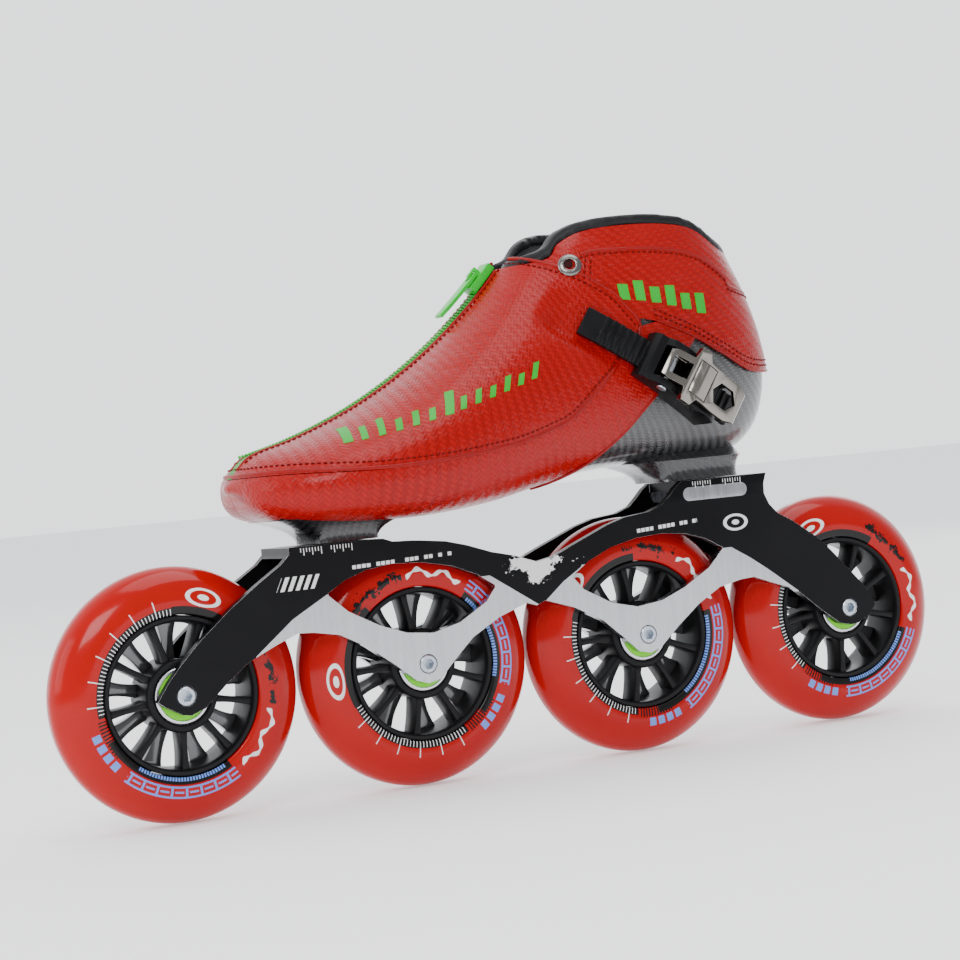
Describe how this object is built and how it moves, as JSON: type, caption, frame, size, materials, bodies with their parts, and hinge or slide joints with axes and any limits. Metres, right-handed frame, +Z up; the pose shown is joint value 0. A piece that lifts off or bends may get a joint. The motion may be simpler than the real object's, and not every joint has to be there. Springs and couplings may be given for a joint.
{
  "type": "inline speed skate",
  "caption": "Left inline speed skate: zip-covered low-cut boot with ratchet buckle, bolted to a twin-wall alloy frame carrying large wheels in line on bearings.",
  "frame": {"origin": "on the ground, under the middle of the wheelbase and midway between the outermost left and right surfaces", "axes": "+X to the toe, +Y to the wearer's left, which is the buckle side, +Z up"},
  "size_m": [0.4054, 0.1002, 0.2262],
  "materials": {
    "red_urethane": null,
    "black_nylon": "moulded glass-filled nylon, satin",
    "bearing_steel": "ground bearing steel with a lime-green rubber seal face",
    "zinc_steel": "bright zinc plate",
    "black_alloy": null,
    "carbon": "clear-coated carbon twill, dark grey, near black on the mounting blocks",
    "red_leather": "glossy coated leather embossed in a twill pattern, dark red stitching",
    "black_leather": "smooth soft black leather, satin",
    "black_lining": "black brushed knit",
    "green_zip": "bright green moulded coil and lacquered slider",
    "gunmetal": "smoky nickel plate, polished",
    "black_plastic": "satin moulded nylon",
    "nickel": "nickel plate"
  },
  "bodies": {
    "skate": {"front_axle": "zinc_steel", "front_bearing_inner_left": "bearing_steel", "front_bearing_inner_right": "bearing_steel", "front_spacer": "zinc_steel", "second_axle": "zinc_steel", "second_bearing_inner_left": "bearing_steel", "second_bearing_inner_right": "bearing_steel", "second_spacer": "zinc_steel", "third_axle": "zinc_steel", "third_bearing_inner_left": "bearing_steel", "third_bearing_inner_right": "bearing_steel", "third_spacer": "zinc_steel", "rear_axle": "zinc_steel", "rear_bearing_inner_left": "bearing_steel", "rear_bearing_inner_right": "bearing_steel", "rear_spacer": "zinc_steel", "frame": "black_alloy", "boot_shell": "carbon", "mount_washer_front": "zinc_steel", "mount_bolt_front": "zinc_steel", "mount_insert_front": "bearing_steel", "mount_washer_rear": "zinc_steel", "mount_bolt_rear": "zinc_steel", "mount_insert_rear": "bearing_steel", "toe_rand": "red_leather", "zip_cover_left": "red_leather", "zip_cover_right": "red_leather", "zipper_tape": "green_zip", "ankle_cuff": "red_leather", "inner_upper": "black_leather", "collar_pad": "black_leather", "liner": "black_lining", "tongue": "black_leather", "footbed": "black_lining", "eyelet_left": "nickel", "eyelet_right": "nickel", "buckle_base": "black_plastic", "base_rivet": "zinc_steel", "lever_pin": "zinc_steel"},
    "front_wheel": {"front_tyre": "red_urethane", "front_core": "black_nylon", "front_bearing_outer_left": "bearing_steel", "front_bearing_outer_right": "bearing_steel"},
    "second_wheel": {"second_tyre": "red_urethane", "second_core": "black_nylon", "second_bearing_outer_left": "bearing_steel", "second_bearing_outer_right": "bearing_steel"},
    "third_wheel": {"third_tyre": "red_urethane", "third_core": "black_nylon", "third_bearing_outer_left": "bearing_steel", "third_bearing_outer_right": "bearing_steel"},
    "rear_wheel": {"rear_tyre": "red_urethane", "rear_core": "black_nylon", "rear_bearing_outer_left": "bearing_steel", "rear_bearing_outer_right": "bearing_steel"},
    "slider": {"zip_slider": "green_zip"},
    "pull": {"zip_pull": "green_zip"},
    "lever": {"buckle_lever": "gunmetal"},
    "pawl": {"buckle_pawl": "black_plastic"},
    "strap": {"ladder_strap": "black_plastic"}
  },
  "joints": [
    {"name": "front_wheel_spin", "type": "hinge", "parent": "skate", "child": "front_wheel", "pos_m": [0.153, 0, 0.05], "axis": [0, 1, 0], "continuous": true},
    {"name": "second_wheel_spin", "type": "hinge", "parent": "skate", "child": "second_wheel", "pos_m": [0.051, 0, 0.05], "axis": [0, 1, 0], "continuous": true},
    {"name": "third_wheel_spin", "type": "hinge", "parent": "skate", "child": "third_wheel", "pos_m": [-0.051, 0, 0.05], "axis": [0, 1, 0], "continuous": true},
    {"name": "rear_wheel_spin", "type": "hinge", "parent": "skate", "child": "rear_wheel", "pos_m": [-0.153, 0, 0.05], "axis": [0, 1, 0], "continuous": true},
    {"name": "zip_run", "type": "hinge", "parent": "skate", "child": "slider", "pos_m": [0.162, -0.0042, 0.357], "axis": [0, -1, 0], "range_deg": [0, 31]},
    {"name": "pull_swing", "type": "hinge", "parent": "slider", "child": "pull", "pos_m": [0.00459, -0.0042, 0.20763], "axis": [0, -1, 0], "range_deg": [0, 150]},
    {"name": "lever_lift", "type": "hinge", "parent": "skate", "child": "lever", "pos_m": [-0.05868, 0.044, 0.16104], "axis": [0.5592, 0, -0.829], "range_deg": [0, 75]},
    {"name": "pawl_rock", "type": "hinge", "parent": "skate", "child": "pawl", "pos_m": [-0.07775, 0.0415, 0.14818], "axis": [-0.5592, 0, 0.829], "range_deg": [0, 20], "stiffness_Nm_per_rad": 0.02},
    {"name": "strap_draw", "type": "hinge", "parent": "skate", "child": "strap", "pos_m": [-0.062, -0.1329, 0.1588], "axis": [-0.5592, 0, 0.829], "range_deg": [-2.69, 4.04]}
  ]
}
